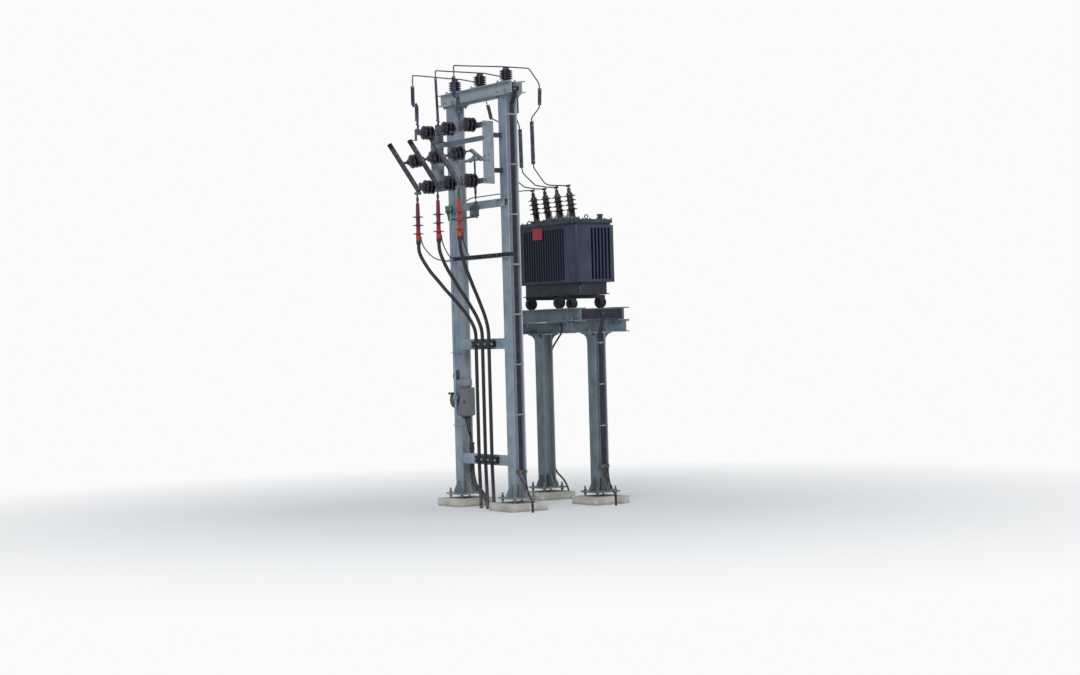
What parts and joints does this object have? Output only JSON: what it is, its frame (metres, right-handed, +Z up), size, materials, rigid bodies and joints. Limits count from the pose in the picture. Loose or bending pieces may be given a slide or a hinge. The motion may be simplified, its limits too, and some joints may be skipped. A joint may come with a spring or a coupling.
{
  "type": "switchgear bay",
  "caption": "Outdoor switchgear bay: steel gantry with a knife-blade disconnector, its hand-wheel linkage and cable terminations, wired to a finned transformer on a stand.",
  "frame": {"origin": "centre of the underside of the near gantry column's foundation pad, on the ground", "axes": "+X from the disconnector towards the transformer, +Y along the gantry beam from the near column to the far one, +Z up"},
  "size_m": [2.3226, 1.688, 4.5485],
  "materials": {
    "galvanised_steel": "dull hot-dip galvanised",
    "dark_galvanised_steel": "weathered galvanised",
    "zinc_plated_steel": "weathered zinc plated",
    "cast_concrete": "trowelled",
    "brown_glazed_porcelain": "glossy glaze",
    "pale_glazed_porcelain": "glossy glaze",
    "black_moulded_plastic": "moulded",
    "black_cable_sheath": "extruded sheath",
    "red_silicone_rubber": "shrunk silicone",
    "tinned_copper": "tinned, dulled",
    "brown_copper_bar": "oxidised brown",
    "bronze_casting": "as cast",
    "grey_painted_sheet": "satin paint",
    "slate_painted_steel": "satin paint",
    "roller_cast_iron": "painted black"
  },
  "bodies": {
    "root": {"foundation_pads": "cast_concrete", "anchor_bolts": "zinc_plated_steel", "gantry_columns": "galvanised_steel", "gantry_beam": "galvanised_steel", "beam_saddles": "galvanised_steel", "top_post_insulators": "brown_glazed_porcelain", "upper_cross_channel": "galvanised_steel", "earth_bar_angle": "galvanised_steel", "cable_crossbars": "galvanised_steel", "cable_clamps": "black_moulded_plastic", "power_cables": "black_cable_sheath", "cable_terminations": "red_silicone_rubber", "switch_side_plates": "galvanised_steel", "switch_insulator_tubes": "galvanised_steel", "switch_stiffener": "galvanised_steel", "switch_brackets": "galvanised_steel", "upper_row_insulators": "brown_glazed_porcelain", "lower_row_insulators": "brown_glazed_porcelain", "contact_jaws": "tinned_copper", "hinge_terminals": "tinned_copper", "crank_brackets": "galvanised_steel", "operating_box": "grey_painted_sheet", "cable_conduit": "black_moulded_plastic", "tube_guides": "galvanised_steel", "line_conductors": "brown_copper_bar", "earth_strips": "brown_copper_bar", "earth_clamps": "bronze_casting", "earth_leads": "brown_copper_bar", "stand_columns": "galvanised_steel", "stand_lower_beams": "galvanised_steel", "stand_upper_beams": "galvanised_steel", "stand_end_channels": "galvanised_steel", "transformer_tank": "slate_painted_steel", "transformer_cover": "slate_painted_steel", "transformer_base": "slate_painted_steel", "transformer_rollers": "roller_cast_iron", "high_voltage_bushings": "brown_glazed_porcelain", "low_voltage_bushings": "pale_glazed_porcelain"},
    "blades": {"switch_blades": "tinned_copper"},
    "links": {"drive_insulators": "brown_glazed_porcelain"},
    "shaft": {"drive_shaft": "galvanised_steel"},
    "upper_rod": {"upper_rod": "dark_galvanised_steel"},
    "near_crank": {"near_bell_crank": "dark_galvanised_steel"},
    "link_rod": {"link_rod": "dark_galvanised_steel"},
    "far_crank": {"far_bell_crank": "dark_galvanised_steel"},
    "tube": {"operating_tube": "galvanised_steel"},
    "wheel": {"hand_wheel": "galvanised_steel"}
  },
  "joints": [
    {"name": "blade_hinge", "type": "hinge", "parent": "root", "child": "blades", "pos_m": [-0.545, 0.525, 3.353], "axis": [0, 1, 0], "range_deg": [0, 35]},
    {"name": "drive_link_pin", "type": "hinge", "parent": "blades", "child": "links", "pos_m": [-0.72568, 0.525, 3.61103], "axis": [0, 1, 0], "range_deg": [-31.65, 0]},
    {"name": "shaft_turn", "type": "hinge", "parent": "root", "child": "shaft", "pos_m": [-0.27, 0.525, 3.6], "axis": [0, 1, 0], "range_deg": [0, 86.24]},
    {"name": "upper_rod_slide", "type": "slide", "parent": "root", "child": "upper_rod", "axis": [0, 0, -1], "range_m": [0, 0.09575]},
    {"name": "near_crank_turn", "type": "hinge", "parent": "root", "child": "near_crank", "pos_m": [-0.157, 0.46579, 3.12], "axis": [1, 0, 0], "range_deg": [0, 40]},
    {"name": "link_rod_slide", "type": "slide", "parent": "root", "child": "link_rod", "axis": [0, 1, 0], "range_m": [0, 0.06159]},
    {"name": "far_crank_turn", "type": "hinge", "parent": "root", "child": "far_crank", "pos_m": [-0.157, 1.01117, 3.12], "axis": [1, 0, 0], "range_deg": [0, 40]},
    {"name": "tube_slide", "type": "slide", "parent": "root", "child": "tube", "axis": [0, 0, -1], "range_m": [0, 0.06159]},
    {"name": "wheel_turn", "type": "hinge", "parent": "root", "child": "wheel", "pos_m": [-0.142, 1.006, 1.125], "axis": [1, 0, 0], "range_deg": [0, 42.46]}
  ],
  "couplings": [
    {"joint": "drive_link_pin", "follows": "blade_hinge", "ratio": -0.90287},
    {"joint": "shaft_turn", "follows": "blade_hinge", "ratio": 2.4625},
    {"joint": "upper_rod_slide", "follows": "blade_hinge", "m_per_rad": 0.15658},
    {"joint": "near_crank_turn", "follows": "blade_hinge", "ratio": 1.1414},
    {"joint": "link_rod_slide", "follows": "blade_hinge", "m_per_rad": 0.10066},
    {"joint": "far_crank_turn", "follows": "blade_hinge", "ratio": 1.1414},
    {"joint": "tube_slide", "follows": "blade_hinge", "m_per_rad": 0.10066},
    {"joint": "wheel_turn", "follows": "blade_hinge", "ratio": 1.2117}
  ]
}
